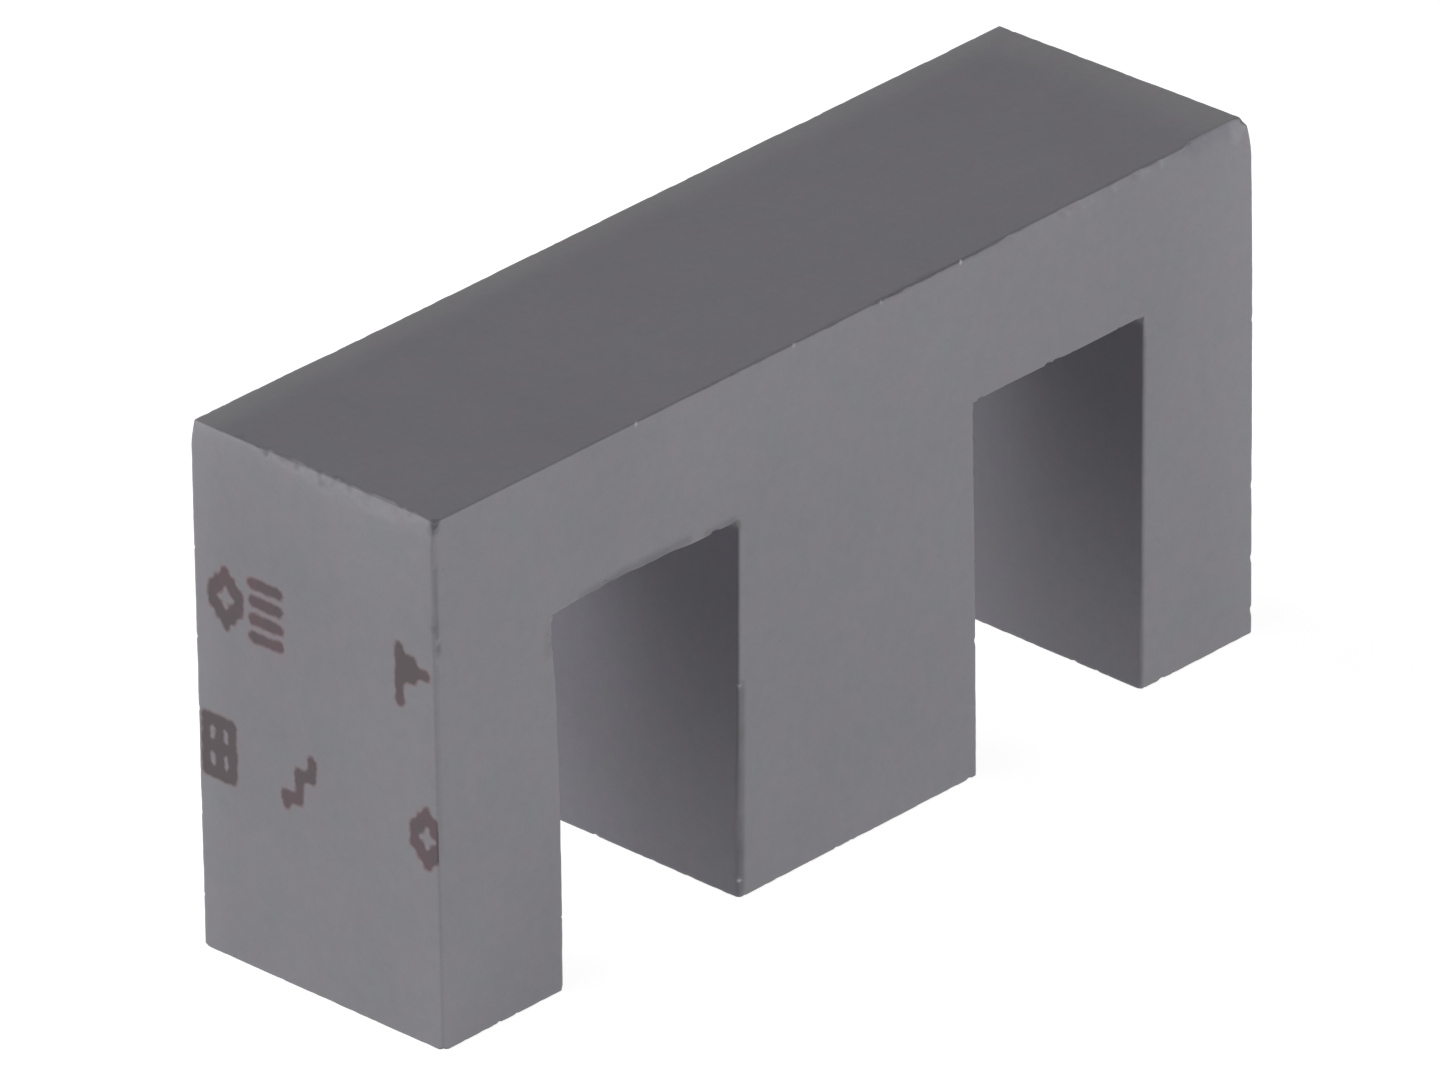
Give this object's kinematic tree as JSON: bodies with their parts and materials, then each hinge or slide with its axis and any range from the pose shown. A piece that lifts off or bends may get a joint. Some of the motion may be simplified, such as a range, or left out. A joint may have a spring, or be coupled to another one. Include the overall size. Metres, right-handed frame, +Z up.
{
  "type": "ferrite e core",
  "caption": "Ferrite E core half, one sintered block with a wide centre leg, slim outer legs, open winding windows and a flat back with crowned ends.",
  "frame": {"origin": "centre of the mating plane, in the middle of the ground end of the centre leg", "axes": "+X along the back from one outer leg to the other, +Y through the depth of the core, +Z up the legs from the mating plane to the back"},
  "size_m": [0.0324, 0.009, 0.016],
  "materials": {
    "sintered_ferrite": "matte"
  },
  "bodies": {
    "root": {"e_core": "sintered_ferrite"}
  },
  "joints": []
}
